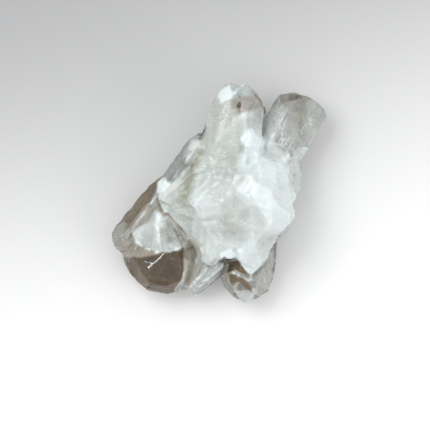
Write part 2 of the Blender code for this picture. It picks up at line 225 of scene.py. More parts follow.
# Faces and breaks with a border of their own, seen from above, in millimetres: how soft the border is,
# how far it wanders, and the values inside it
zones = {
    # darkFace and smokyTop paint the smoky crystal's face and top: their brown is partly its own smoky colour
    # and partly painted shadow
    "darkFace": dict(
        border=(
            (-27.8, -6), (-26.4, -8.2), (-24.3, -8.6), (-20.2, -3.6), (-17.8, 0.2), (-16.4, 6.2),
            (-21.6, 2.4),
        ),
        soft=0.35, milk=0.6, smoke=0.9, fibre=0, tone=0.8, wander=0.15,
    ),
    "smokyTop": dict(
        border=(
            (-27.6, -14.4), (-22.6, -13.4), (-20.4, -15.9), (-17, -16.8), (-18.4, -17.6), (-22, -18.2),
            (-27, -17.6),
        ),
        soft=0.6, milk=0.75, smoke=0.52, tone=0.8, wander=0.5,
    ),
    "fanTop": dict(
        border=(
            (-17.4, -1), (-24.4, -9.6), (-24.6, -11), (-19, -9.6), (-12.6, -10), (-14.3, -8), (-16.5, -3.8),
        ),
        soft=0.9, milk=0.7, smoke=0.35, tone=0.16,
    ),
    "fanFront": dict(
        border=(
            (-17.9, -4.6), (-19.6, -7.6), (-24.6, -10.6), (-23.8, -13.3), (-20.4, -15.5), (-17.4, -16.4),
            (-13.7, -16.4), (-10.6, -15.3), (-10.1, -13), (-13.4, -9.4), (-16.2, -5.6),
        ),
        soft=0.5, milk=0.8, smoke=0, tone=0.56, wander=0.1,
    ),
    "fanRight": dict(
        border=((-15.2, -7.6), (-16.4, -10.6), (-15.4, -13.4), (-10.4, -14.6), (-9.6, -12.4), (-12.6, -8.8)),
        soft=0.9, milk=0.62, smoke=0.12, tone=0.42, wander=0.8,
    ),
    "besideRoot": dict(
        border=((-10.6, -11.8), (-6.6, -14.2), (-7.4, -16.6), (-10.6, -15.2)),
        soft=0.6, milk=0.7, smoke=0.25, tone=0.5,
    ),
    # Painted light: this corner lies in the shade of the root above it, and its high tone lifts that shade
    "smokyCornerPaintedLight": dict(
        border=((-10.6, -13.2), (-8.1, -12.2), (-6.2, -14.8), (-5.8, -18.4), (-7.4, -20.8), (-9.6, -17.4)),
        soft=0.5, milk=1, smoke=0.48, tone=1.1, wander=0.2,
    ),
    # Its pale tone is partly its own colour and partly painted light that lifts the shade of the deep groove
    # beside the smoky corner
    "paleBand": dict(
        border=(
            (-10, -17), (-7.4, -20.6), (-5.6, -19), (-6.2, -23), (-8.2, -26.4), (-9.2, -28.2), (-10, -24),
        ),
        soft=0.5, milk=0.95, smoke=0.42, tone=0.9, wander=0.2,
    ),
    "leftBright": dict(
        border=((-17.1, 3.2), (-15.1, 4.3), (-12.3, 1.5), (-16.2, -0.6), (-17.6, 0.4)),
        soft=0.7, milk=1, smoke=0, tone=0.9,
    ),
    "leftPatch": dict(
        border=((-7.4, 14.6), (-5.2, 15.2), (-4.8, 11.8), (-7, 9.6), (-9.4, 8.6), (-9.6, 10.6), (-8, 11.6)),
        soft=0.7, milk=0.85, smoke=0, tone=0.6, wander=0.8,
    ),
    "sideFace": dict(
        border=((18.8, 9.8), (22.4, 10.2), (24.2, 5), (23.4, -1.6), (20.8, -2), (20.6, 4)),
        soft=0.5, milk=0.68, smoke=0.08, tone=0.74, wander=0.6,
    ),
    "towerCap": dict(
        border=((3.9, 30.9), (8.1, 30.9), (10.4, 28.4), (9.8, 27), (4.8, 27)),
        soft=0.5, milk=0.62, smoke=0.05, tone=0.8,
    ),
    "towerWindow": dict(
        border=((2.8, 26.7), (5.9, 27.3), (10.4, 27.6), (12.2, 25.1), (10.9, 23.4), (5.9, 22.5), (2.8, 23.4)),
        soft=0.6, milk=0.72, smoke=0.34, tone=0.7,
    ),
    "belowWindow": dict(
        border=((5.9, 22.3), (9.8, 22.8), (9.8, 21.1), (6.2, 20.9)),
        soft=0.7, milk=0.95, tone=0.62,
    ),
    "betweenPoints": dict(
        border=((11.8, 22.2), (13.4, 22.6), (15.4, 19.4), (15.6, 14), (12.4, 13), (11.8, 16)),
        soft=0.8, milk=0.8, smoke=0.04, tone=0.62, wander=0.6,
    ),
    "rightMiddle": dict(
        border=((20.6, 26), (25, 26.4), (25.2, 20.4), (22.4, 17.6), (20.8, 20.6)),
        soft=1, milk=0.5, smoke=0.32, tone=0.75, wander=0.8,
    ),
    "rightFace": dict(
        border=((24.4, 26.6), (27.2, 26.4), (31, 21.6), (28.4, 16.4), (25.6, 13), (24.2, 15.2), (25, 20)),
        soft=0.5, milk=0.55, smoke=0.2, tone=0.85,
    ),
    "towerPatch": dict(
        border=((-0.2, 28), (2.8, 30), (4.2, 28.1), (2.8, 26.2), (0.6, 25.4)),
        soft=0.9, milk=1.1, tone=1.1, wander=0.7,
    ),
    "windowRight": dict(
        border=((13.2, -18.1), (16.2, -15), (16.2, -19.2), (14.3, -22), (13.4, -20.9)),
        soft=0.4, milk=0.6, smoke=0.3, tone=0.5,
    ),
    "lowerLeft": dict(
        border=((2.6, -20.6), (4.6, -22.4), (5.4, -24.6), (4.6, -27.6), (2.4, -25), (1.2, -22.4)),
        soft=0.4, milk=0.7, smoke=0.38, tone=0.45,
    ),
    "lowerRight": dict(
        border=((10.2, -24), (13.6, -19.6), (15.4, -22.6), (14.2, -27), (10.6, -29.2)),
        soft=0.5, milk=0.6, smoke=0.24, tone=0.5,
    ),
    "lowerFoot": dict(
        border=((4.4, -27.4), (9.8, -26.8), (10.2, -30.6), (6, -30.8)),
        soft=0.4, milk=0.62, smoke=0.05, tone=0.6,
    ),
    "windowLeft": dict(
        border=((2.8, -19.2), (5.4, -18.6), (8.9, -23.5), (4.6, -21.5), (2.5, -22.2)),
        soft=0.3, milk=0.95, smoke=1, tone=0.2, wander=0.15,
    ),
    "windowMiddle": dict(
        border=(
            (2.8, -22.8), (4, -22.1), (8.2, -24.4), (9.4, -26.5), (9.4, -27.8), (7.3, -27), (5.4, -24.9),
            (4.3, -25.4), (3.8, -26.4), (3, -24.8),
        ),
        soft=0.3, milk=0.85, smoke=0.85, tone=0.4, wander=0.15,
    ),
}

# Parts of the root that are brighter or greyer, with a border of their own
rootZones = {
    "leftLobe": dict(
        border=(
            (-16.5, -1.8), (-13.2, 2.9), (-8.1, 6.6), (-8.7, 1), (-9.8, -3.2), (-8.1, -8.8), (-10.9, -11.6),
            (-14.3, -6.9),
        ),
        soft=0.9, tone=0.32,
    ),
    "centre": dict(border=((-3.9, 9.4), (4.5, 9.9), (2.5, 3.8), (-2, -0.4), (-6.4, 1)), soft=0.8, tone=0.38),
    "middleLow": dict(
        border=((-6.4, -3.2), (-2, -1.3), (0.8, -5.2), (-1.4, -13), (-5.3, -15.3), (-8.7, -10.2)),
        soft=0.6, tone=0.55,
    ),
    "valley": dict(
        border=((0.8, -1.8), (5.3, -0.4), (8.7, -5.2), (5.9, -11.6), (0.8, -14.4), (-0.8, -8.8)),
        soft=0.7, tone=0.42, olive=0.04,
    ),
    "middle": dict(border=((-3, 0.6), (1.4, 1.4), (1.6, -2), (-2.4, -3)), soft=0.8, tone=0.44),
    "rootRight": dict(
        border=(
            (6.7, 12.2), (12, 12.2), (18.5, 9.4), (20.4, 3.8), (21.8, -6), (19.9, -10.8), (13.7, -11.9),
            (12, -6), (9.2, -0.4), (7.8, 5.2), (4.8, 8),
        ),
        soft=1.1, tone=0.8,
    ),
    "tongue": dict(
        border=((7.3, -11.6), (13.7, -11.9), (12, -18.1), (9.2, -23.4), (5.3, -18.1)),
        soft=0.6, tone=0.62,
    ),
    # Painted light: this edge of the lobe slopes away from the key lamp, and its tone, higher than the
    # lobe's, lifts the shade there
    "lobeEdgePaintedLight": dict(
        border=(
            (-15.4, -5.6), (-12.4, -8.8), (-9.2, -12.2), (-6.6, -13.6), (-6.8, -11.4), (-10, -8),
            (-13.4, -4.4),
        ),
        soft=0.7, tone=0.48, olive=0.1,
    ),
    # The ledge is white, and its tone, the highest on the root, adds a painted highlight
    "ledge": dict(
        border=((0.2, -17.6), (2.8, -16.4), (6.4, -16), (6.6, -18), (5, -19.4), (1.2, -19.2)),
        soft=0.4, tone=1.3, wander=0.5,
    ),
    "block": dict(
        border=((5.9, 16.1), (10.1, 18.9), (11.5, 17.8), (13.4, 13.9), (12, 12.7), (7.6, 12.7)),
        soft=0.3, tone=0.85, wander=0.15,
    ),
}
zoneWander = 0.4  # for a zone that gives none
zoneHeight = (5, 7)  # zones fade out downwards between these heights
painted = ("milk", "smoke", "fibre", "tone", "olive")

# Soft patches painted one over the other: field, start, end, radius and value
patches = (
    ("milk", (2, 12, 22), (2.6, 23, 22), 7.4, 0.9),
    ("tone", (1, 12, 22), (2, 24, 22), 7.4, 0.28),
    ("tone", (-3.6, 14, 22), (-1, 24, 22), 3.6, 0.26),
    ("tone", (2.6, 12, 23), (4, 17, 23), 3, 0.26),
    ("fibre", (16.6, 26, 15), (17.6, 13.6, 16), 2.6, 1.1),
    ("milk", (16.6, 26, 15), (17.6, 13.6, 16), 2.4, 0.5),
    ("milk", (-28.6, -10.4, 11), (-26.4, -14, 11), 3.4, 0.6),
    ("smoke", (-28.6, -10.4, 11), (-27.4, -13, 11), 3.4, 0.28),
    ("tone", (-28.6, -10.4, 11), (-27.4, -13, 11), 3.4, 0.4),
    ("tone", (19, 22, 15), (22.6, 14, 14), 5.4, 0.88),
    ("milk", (21, 25.4, 14), (25.6, 23.6, 13), 4.4, 0.5),
    ("smoke", (20.4, 26.6, 13), (24.4, 25.4, 12), 3.6, 0.45),
    ("tone", (20.4, 26, 13), (25.6, 23.2, 12), 4.4, 0.66),
)
patchWander = 0.25

# Ridges, grooves and lines of colour, in plan: path, width, height, and what they add to each value.
# A crease shows only higher up than "above", wanders by "wobble", and has gaps unless it is "solid".
creases = {
    # The groove is tinted olive and darkened by painted shade
    "oliveGroove": dict(
        path=((-5.6, 11), (-6.6, 9), (-8, 5.4), (-9.2, 1), (-10.2, -2)),
        width=1.6, height=-0.4, tone=-0.2, olive=1, wobble=0.2, solid=True,
    ),
    "whiteRidge": dict(
        path=((1.2, 6.2), (-0.3, 3.2), (-3.9, 0.4), (-6.8, -3.4)),
        width=0.35, height=0.2, tone=0.35, wobble=0.35,
    ),
    # Painted shade darkens the groove along the block's edge a little
    "blockEdgeShade": dict(path=((5.2, 17.2), (6, 11.6), (11.6, 9.4)), width=0.6, height=-0.25, tone=-0.1),
    "rootShadow": dict(
        path=((-17.4, -1.8), (-14.6, -8), (-10.6, -12.6), (-7.6, -14.6)),
        width=0.5, height=-0.2, tone=-0.3, milk=-0.1, smoke=0.1, wobble=0.25,
    ),
    # Painted highlight along the raised rim of the shell-shaped break
    "fanRimHighlight": dict(
        path=((-23.2, -13.6), (-20.4, -15.7), (-17, -16.5), (-13.6, -16.4), (-10.9, -15.4)),
        width=0.4, height=0.1, tone=0.5, milk=0.5, smoke=-0.5, wobble=0.1,
    ),
    "fanRay": dict(path=((-17, -5.4), (-17.1, -13.2)), width=0.45, height=0.2, tone=0.5, milk=0.4),
    "faceBand": dict(
        path=((-17.5, -0.6), (-19.8, -3.8), (-24.2, -9.4)),
        width=0.35, height=0.1, tone=0.1, milk=0.3, smoke=-0.3, wobble=0.2,
    ),
    "smokyBand": dict(
        path=((-10.9, -15.8), (-9.9, -19), (-9.4, -23), (-8.8, -27.4)),
        width=0.7, height=0.1, milk=0.1, smoke=-0.12,
    ),
    "rightRim": dict(
        path=((14.3, 14.1), (17.1, 13.9), (19, 12.2), (19.6, 9.9)),
        width=0.4, height=0.1, tone=0.4, milk=0.3, above=5,
    ),
    "rightSpot": dict(path=((20.4, 26.9), (22.6, 27.1)), width=0.6, tone=-0.6, smoke=0.7, above=5),
    # Painted shade darkens the cleft in the tower and tints it brown
    "towerCleftShade": dict(path=((5.7, 25.3), (5.6, 22.8)), width=0.4, height=-0.2, tone=-0.6, smoke=0.6),
    "towerEdge": dict(
        path=((9.2, 28.6), (11.4, 26.2), (12.2, 24.4)),
        width=0.3, height=0.05, tone=-0.5, smoke=0.5, wobble=0.15,
    ),
    "towerRidge": dict(
        path=((6.6, 30.4), (4.4, 28.2), (3.2, 26.6)),
        width=0.3, height=0.1, tone=0.5, milk=0.4, wobble=0.3,
    ),
    # Painted shade darkens the crevice and tints it brown
    "creviceShade": dict(
        path=((-4.2, 18.6), (-5.3, 15.8)),
        width=0.5, height=-0.2, tone=-0.7, milk=-0.3, smoke=0.3,
    ),
    "ledgeShadow": dict(
        path=((0.4, -19), (5.2, -19.3)),
        width=0.6, height=-0.1, tone=-0.8, milk=-0.3, smoke=0.35,
    ),
    "ribDark": dict(
        path=((3.3, -20.7), (-1.1, -24.5), (-5.3, -28.1)),
        width=0.5, tone=-0.6, milk=-0.1, smoke=0.25, wobble=0.1,
    ),
    "ribDark2": dict(
        path=((-0.8, -18.6), (-3.6, -21.2), (-5.9, -23.2)),
        width=0.5, tone=-0.4, milk=-0.05, smoke=0.1, wobble=0.1,
    ),
    "ribBright": dict(
        path=((0.8, -20.4), (-3.1, -24), (-7, -27.4)),
        width=0.45, height=0.15, tone=0.45, milk=0.3, wobble=0.1,
    ),
    "ribBright2": dict(
        path=((-3.4, -21), (-5.9, -23.8), (-8.6, -26.6)),
        width=0.4, height=0.15, tone=0.4, milk=0.3, wobble=0.1,
    ),
    "lowerRidge": dict(
        path=((9.2, -23.9), (9.8, -25.6), (10.1, -28.4)),
        width=0.45, height=0.05, tone=0.5, milk=0.3, smoke=-0.8, wobble=0.2,
    ),
    "lowerBand": dict(
        path=((4.1, -22.3), (6.7, -23.3), (9, -24.6)),
        width=0.45, height=0.05, tone=0.4, milk=0.3, smoke=-0.9, wobble=0.2,
    ),
    "lowerEdge": dict(
        path=((13.3, -20.4), (12.6, -24), (13.6, -26.4)),
        width=0.3, height=0.05, tone=0.15, milk=0.1, wobble=0.2,
    ),
}
creaseUsual = {"height": 0, "wobble": 0.5, "above": 9, "fade": 2, "ragged": 0.4, "solid": False, "most": 1.3}

# The mesh of the cluster, in millimetres
surface = {
    "voxel": 0.35,
    "ridgeAngle": 14,  # degrees between two faces of a ridge that is kept sharp
    "ridgeSpacing": 0.04,  # between the spots on a ridge that vertices are drawn to
    "ridgeReach": 0.2,  # how far a vertex may be drawn to a ridge
    "tone": 0.55,  # from 0, grey, to 1, white
    "wear": 0.04,  # how far ridges are worn, and the rest is uneven
    "rootLump": 0.12,
    "rootGrain": 0.05,
    "seamPolish": 0.7,  # how far each pass smooths a healed seam, from 0 to 1
    "seamPasses": 40,
    "rootPolish": 0.6,
    "polishPasses": 4,
}

# Noise over the stone: cells in a millimetre, seed and octaves
grains = {
    "border": (0.22, 1, 3),
    "wear": (0.8, 3, 3),
    "ridgeWear": (0.5, 4),
    "rootLump": (0.25, 5, 3),
    "rootGrain": (1, 7, 3),
    "ribBend": (0.3, 8),
    "ribHeight": (0.5, 9),
    "rays": (1, 10),
    "fineRays": (2.6, 11),
    "ragged": (1.3, 12),
    "gaps": (0.7, 13, 3),
    "wobble": (0.8, 14, 2),
}
seedStep = (13.1, 7.7, 3.3)
fractalShape = (0.9, 2.1)  # how fast the octaves weaken, and how much finer each one is

# The smoky crystal's bevels, found by their smokiness, slope and height, are as brown as its face, and
# painted shade darkens them by their slope
smokyBevel = {"smoke": (0.5, 0.9), "slope": (-0.95, -0.75), "height": (3, 6), "milk": 0.9, "slopeShade": 0.45}

# The shell-shaped break, with rays from its apex: bearings in degrees, the rest in millimetres
fanBreak = {
    "apex": (-17.8, -1.4),
    "near": (3, 6),
    "far": (15.5, 17.5),
    "first": (-148, -136),
    "last": (-54, -42),
    "height": (12.4, 14),
    "rays": 0.4,  # how fine the rays are
    "rings": 0.06,
    "relief": 0.17,
    "full": 9,  # the distance from the apex at which the rays are as high as the relief
    "least": 0.3,
    "most": 1.3,
}

# The ribs of the ribbed crystal, in millimetres
ribs = {
    "relief": 0.17,
    "spacing": 0.95,
    "direction": (-0.654, -0.756),
    "reach": (6, 7.4),  # they fade out between these distances from the axis
    "start": (0.18, 0.4),  # and in between these shares of its length
    "bend": 0.35,
    "crest": 0.35,
    "steep": 1.6,
}

# Flakes broken off the surface, in millimetres: how many, their radius and depth, and their tilt
flakes = {
    "rootLarge": dict(where="root", count=16, radius=(3.5, 7), depth=(0.15, 0.35), tilt=0.14, seed=3),
    "rootSmall": dict(where="root", count=50, radius=(0.9, 2.4), depth=(0.04, 0.1), tilt=0.16, seed=4),
    "ridges": dict(where="ridge", count=260, radius=(0.5, 1.4), depth=(0.04, 0.16), tilt=0.3, seed=5),
}

# The flat breaks of the root, in plan: how many, their tilt and step, and how far their tones differ
facets = {
    "count": 36,
    "seed": 12,
    "low": (-18, -24),
    "high": (23, 20),
    "tilt": 0.025,
    "lift": 0.03,
    "most": 0.25,
    "shade": 0.07,
    "wander": 2.2,  # how far the borders wander, in millimetres
    "wanderScale": 0.2,
    "wanderSeeds": (21, 22),
    "turn": 58,  # degrees from +x to the long way of the breaks
    "flat": 1.5,
}

# Seams between two crystals that have healed: start, end, radius
healedSeams = (
    ((1.8, 6, 22), (5, 27.6, 22), 4.6),
    ((-3.6, 12, 21), (-1.4, 19, 20), 2.2),
    ((-1.4, 8, 24), (1, 23, 24), 3.6),
    ((8.6, 13, 25), (9, 17.6, 23), 3.6),
    ((12.8, 12, 17), (12.9, 21, 13.6), 2.8),
    ((-6.4, -18.6, 9.2), (-9, -25.4, 9.8), 3),
)
seamFade = (0.5, 1)  # shares of the radius between which the smoothing fades out
calmBlock = ((9.4, 12.6, 25), (8.6, 17.6, 23), 4.2)  # a smooth face without flakes: start, end, radius


def softStep(values, low, high):
    t = np.clip((values - low) / (high - low), 0.0, 1.0)
    return t * t * (3 - 2 * t)


def noiseAt(points, scale, seed, octaves=1):
    # Smooth noise, about -1 to 1, at each point in millimetres
    shift = Vector([seed * step for step in seedStep])
    scaled = points * scale
    if octaves == 1:
        return np.array([noise.noise(Vector(p) + shift) for p in scaled])
    return np.array([noise.fractal(Vector(p) + shift, *fractalShape, octaves) for p in scaled])


def besideAxis(points, start, end):
    # How far along the axis each point lies, as a share of its length, and the distance to it
    start, way = np.array(start), np.array(end) - np.array(start)
    share = np.clip((points - start) @ way / (way @ way), 0, 1)
    return share, np.linalg.norm(points - start - share[:, None] * way, axis=1)


def capsuleShare(points, start, end, radius, low=0.6, high=1.25, wander=0.0):
    # 1 well inside a capsule and 0 outside it
    away = besideAxis(points, start, end)[1] / radius + wander
    return 1 - softStep(away, low, high)


def alongPath(points, path):
    # Distance in plan from each point to a line of several points
    return np.min([besideAxis(points[:, :2], *ends)[1] for ends in zip(path[:-1], path[1:])], axis=0)


def insideBorder(points, border):
    # Distance in plan to a closed line, above zero inside it
    x, y = points[:, 0], points[:, 1]
    inside = np.zeros(len(points), bool)
    for (x1, y1), (x2, y2) in zip(border, border[1:] + border[:1]):
        if y1 != y2:
            inside ^= ((y1 > y) != (y2 > y)) & (x < (x2 - x1) * (y - y1) / (y2 - y1) + x1)
    return np.where(inside, 1, -1) * alongPath(points, border + border[:1])


def readVectors(mesh, key):
    flat = np.empty(len(mesh.vertices) * 3)
    mesh.vertices.foreach_get(key, flat)
    return flat.reshape(-1, 3)


def setPoints(mesh, points):
    mesh.vertices.foreach_set("co", (points * mm).ravel())
    mesh.update()


def storeFloats(mesh, name, values):
    attribute = mesh.attributes.new(name, "FLOAT", "POINT")
    attribute.data.foreach_set("value", values.astype(np.float32))


def storeVectors(mesh, name, values):
    attribute = mesh.attributes.new(name, "FLOAT_VECTOR", "POINT")
    attribute.data.foreach_set("vector", values.astype(np.float32).ravel())


def evenMesh():
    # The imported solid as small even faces, with its ridges kept
    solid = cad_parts["quartz_cluster"].data.copy()
    bm = bmesh.new()
    bm.from_mesh(solid)
    bmesh.ops.remove_doubles(bm, verts=bm.verts[:], dist=2e-6)
    bm.to_mesh(solid)
    tree = BVHTree.FromBMesh(bm)
    spots = []
    for edge in bm.edges:
        if edge.calc_face_angle(0) < math.radians(surface["ridgeAngle"]):
            continue
        steps = max(1, int(edge.calc_length() / (surface["ridgeSpacing"] * mm)))
        start, end = edge.verts[0].co, edge.verts[1].co
        spots += [start.lerp(end, k / steps) for k in range(steps + 1)]
    bm.free()
    ridge = kdtree.KDTree(len(spots))
    for k, spot in enumerate(spots):
        ridge.insert(spot, k)
    ridge.balance()

    holder = newObject("solidCopy", solid)
    remesh = holder.modifiers.new("Even faces", "REMESH")
    remesh.mode = "VOXEL"
    remesh.voxel_size = surface["voxel"] * mm
    even = builtMesh(holder)
    reach = surface["ridgeReach"] * mm
    ridgeShare = np.zeros(len(even.vertices))
    for vert in even.vertices:
        spot, _, away = ridge.find(vert.co)
        if away < reach:
            vert.co = spot
            ridgeShare[vert.index] = 1
        else:
            vert.co = tree.find_nearest(vert.co)[0]
    even.update()
    return even, ridgeShare


def crystalFields(points):
    # Which crystal each point is on, what that crystal gives it, and its place along and across that crystal
    nearest = np.full(len(points), np.inf)
    fields = {name: np.zeros(len(points)) for name in painted}
    fields["tone"] += surface["tone"]
    grain = np.zeros((len(points), 3))
    for k, crystal in enumerate(crystals.values()):
        foot, tip = np.array(crystal["foot"]), np.array(crystal["tip"])
        share, away = besideAxis(points, foot, tip)
        away /= crystal["radius"]
        mine = away < nearest
        nearest[mine] = away[mine]
        along = (tip - foot) / np.linalg.norm(tip - foot)
        side = np.cross(along, (0, 0, 1))
        side /= np.linalg.norm(side)
        turn = np.array((along, side, np.cross(side, along)))
        grain[mine] = (points[mine] - foot) @ turn.T + k * 37.0  # each crystal has fibres of its own
        low, high = crystal["milk"]
        fields["milk"][mine] = (low + (high - low) * share)[mine]
        for name in ("smoke", "fibre"):
            fields[name][mine] = crystal.get(name, 0.0)
    return fields, grain


def shadeBevels(points, normals, fields):
    # Painted shade: the sloping bevels of the smoky crystal get a milky brown and a lower tone by their slope
    shadedBevel = softStep(fields["smoke"], *smokyBevel["smoke"]) * softStep(-normals[:, 2], *smokyBevel["slope"])
    shadedBevel *= softStep(points[:, 2], *smokyBevel["height"])
    fields["milk"] += (smokyBevel["milk"] - fields["milk"]) * shadedBevel
    fields["tone"] -= smokyBevel["slopeShade"] * shadedBevel


def paintPatches(points, fields):
    # Paints the root, the patches and the zones, and gives back how much each point is on the root
    wander = noiseAt(points, *grains["border"])
    blur = rootEdge["blur"] + softStep(points[:, 1], *rootEdge["softer"])
    edge = insideBorder(points, rootBorder) / blur + rootEdge["wander"] * wander
    root = softStep(edge, -1, 1) * softStep(points[:, 2] + wander, *rootEdge["height"])
    fields["milk"] += (rootEdge["milk"] - fields["milk"]) * root
    fields["smoke"] *= 1 - root
    for name, start, end, radius, value in patches:
        share = capsuleShare(points, start, end, radius, wander=patchWander * wander)
        fields[name] += (value - fields[name]) * share
    for group, place in ((zones, 1 - root), (rootZones, root)):
        for zone in group.values():
            edge = insideBorder(points, zone["border"]) + zone.get("wander", zoneWander) * wander
            share = softStep(edge, -zone["soft"], zone["soft"]) * softStep(points[:, 2], *zoneHeight) * place
            for name in painted:
                if name in zone:
                    fields[name] += (zone[name] - fields[name]) * share
    return root


def smoothed(mesh, points, weight, passes):
    # Draws each point to the middle of its neighbours
    ends = np.empty(len(mesh.edges) * 2, np.int32)
    mesh.edges.foreach_get("vertices", ends)
    first, second = ends.reshape(-1, 2).T
    count = np.bincount(first, minlength=len(points)) + np.bincount(second, minlength=len(points))
    for _ in range(passes):
        total = np.zeros_like(points)
        for k in range(3):
            total[:, k] = np.bincount(first, points[second, k], len(points))
            total[:, k] += np.bincount(second, points[first, k], len(points))
        points = points + (total / count[:, None] - points) * weight[:, None]
    return points


def breakFlakes(points, normals, where, kind):
    # Scoops shallow hollows out of the surface, at random places
    pick = np.random.default_rng(kind["seed"])
    chances = where / where.sum()
    for spot in pick.choice(len(points), kind["count"], p=chances):
        radius = pick.uniform(*kind["radius"])
        depth = pick.uniform(*kind["depth"])
        way = normals[spot] + pick.normal(0, kind["tilt"], 3)
        way /= np.linalg.norm(way)
        away = points - points[spot]
        close = np.flatnonzero(np.einsum("ij,ij->i", away, away) < (1.8 * radius) ** 2)
        close = close[normals[close] @ way > 0.2]  # spares the other side of a thin edge
        rise = away[close] @ way
        flat2 = np.einsum("ij,ij->i", away[close], away[close]) - rise**2
        excess = rise + depth - depth * flat2 / radius**2
        points[close] -= np.clip(excess, 0, 2.2 * depth)[:, None] * way
    return points


def breakFacets(points):
    # Flat breaks that meet in low steps: the height and the change of tone at each point
    pick = np.random.default_rng(facets["seed"])
    count = facets["count"]
    middles = pick.uniform(facets["low"], facets["high"], (count, 2))
    tilts = pick.normal(0, facets["tilt"], (count, 2))
    lifts = pick.normal(0, facets["lift"], count)
    shades = pick.normal(0, facets["shade"], count)
    wander = [noiseAt(points, facets["wanderScale"], seed, 3) for seed in facets["wanderSeeds"]]
    plan = points[:, :2] + facets["wander"] * np.column_stack(wander)
    turn, flat = math.radians(facets["turn"]), facets["flat"]
    spin = np.array(((math.cos(turn), math.sin(turn)), (-math.sin(turn) * flat, math.cos(turn) * flat)))
    away = ((plan @ spin.T)[:, None, :] - (middles @ spin.T)[None]) ** 2
    cell = away.sum(axis=2).argmin(axis=1)
    height = lifts[cell] + ((plan - middles[cell]) * tilts[cell]).sum(axis=1)
    return np.clip(height, -facets["most"], facets["most"]), shades[cell]


def drawCreases(points, fields):
    # Paints the creases, and gives back the height that they add
    ragged = 1 + creaseUsual["ragged"] * noiseAt(points, *grains["ragged"])
    gaps = np.clip(0.75 + 1.2 * noiseAt(points, *grains["gaps"]), 0.1, 1)
    wobble = noiseAt(points, *grains["wobble"])
    height = np.zeros(len(points))
    for given in creases.values():
        crease = creaseUsual | given
        away = alongPath(points, crease["path"]) + crease["wobble"] * wobble
        line = np.exp(-((away / (crease["width"] * ragged)) ** 2))
        line *= softStep(points[:, 2], crease["above"], crease["above"] + crease["fade"])
        if not crease["solid"]:
            line *= gaps
        height += crease["height"] * line
        for name in painted:
            fields[name] = np.clip(fields[name] + crease.get(name, 0) * line, 0, crease["most"])
    return height


def fanShare(points):
    # How much each point is on the shell-shaped break, and its bearing and distance from the apex
    away = points[:, :2] - np.array(fanBreak["apex"])
    reach = np.linalg.norm(away, axis=1)
    bearing = np.degrees(np.arctan2(away[:, 1], away[:, 0]))
    sector = softStep(bearing, *fanBreak["first"]) * (1 - softStep(bearing, *fanBreak["last"]))
    band = softStep(reach, *fanBreak["near"]) * (1 - softStep(reach, *fanBreak["far"]))
    return sector * band * softStep(points[:, 2], *fanBreak["height"]), bearing, reach


def fanHeight(polar, reach):
    rays = noiseAt(polar, *grains["rays"]) + 0.5 * noiseAt(polar, *grains["fineRays"])
    return fanBreak["relief"] * rays * np.clip(reach / fanBreak["full"], fanBreak["least"], fanBreak["most"])


def ribShare(points):
    # How much each point is on the ribbed crystal
    share, away = besideAxis(points, crystals["ribbed"]["foot"], crystals["ribbed"]["tip"])
    return (1 - softStep(away, *ribs["reach"])) * softStep(share, *ribs["start"])


def ribHeight(points):
    # Ribs with one steep and one gentle side
    x, y = ribs["direction"]
    across = points[:, 1] * x - points[:, 0] * y
    phase = across / ribs["spacing"] + ribs["bend"] * noiseAt(points, *grains["ribBend"])
    saw = np.abs((phase % 1.0) - ribs["crest"]) * ribs["steep"] - 0.5
    return ribs["relief"] * saw * (0.7 + 0.3 * noiseAt(points, *grains["ribHeight"]))


def buildCluster():
    mesh, ridgeShare = evenMesh()
    points = readVectors(mesh, "co") / mm
    fields, grain = crystalFields(points)
    shadeBevels(points, readVectors(mesh, "normal"), fields)
    root = paintPatches(points, fields)
    fan, bearing, reach = fanShare(points)
    ribbed = ribShare(points) * (1 - root)

    seams = np.max([capsuleShare(points, *seam, *seamFade) for seam in healedSeams], axis=0)
    points = smoothed(mesh, points, surface["seamPolish"] * seams, surface["seamPasses"])
    setPoints(mesh, points)
    normals = readVectors(mesh, "normal")
    broken = root * (1 - capsuleShare(points, *calmBlock))
    places = {"root": broken * softStep(normals[:, 2], -0.2, 0.2), "ridge": ridgeShare * (1 - root)}
    for kind in flakes.values():
        points = breakFlakes(points, normals, places[kind["where"]], kind)

    height = surface["wear"] * noiseAt(points, *grains["wear"])
    height -= ridgeShare * surface["wear"] * (1 + noiseAt(points, *grains["ridgeWear"]))
    for name in ("rootLump", "rootGrain"):
        height += root * surface[name] * noiseAt(points, *grains[name])
    step, shade = breakFacets(points)
    height += broken * step
    fields["tone"] += broken * shade
    height += drawCreases(points, fields)
    height += ribbed * ribHeight(points)
    fields["fan"] = fan * (1 - root)
    polar = (bearing * fanBreak["rays"], reach * fanBreak["rings"], np.full(len(points), 1.7))
    polar = np.column_stack(polar)
    height += fields["fan"] * fanHeight(polar, reach)

    points = points + normals * height[:, None]
    points = smoothed(mesh, points, surface["rootPolish"] * root, surface["polishPasses"])
    setPoints(mesh, np.clip(points, *(np.array(corner) / mm for corner in cadBounds)))
    for name, values in fields.items():
        storeFloats(mesh, name, values)
    storeVectors(mesh, "grain", grain)
    storeVectors(mesh, "polar", polar)
    mesh.shade_smooth()
    return newObject("quartzSurface", mesh)


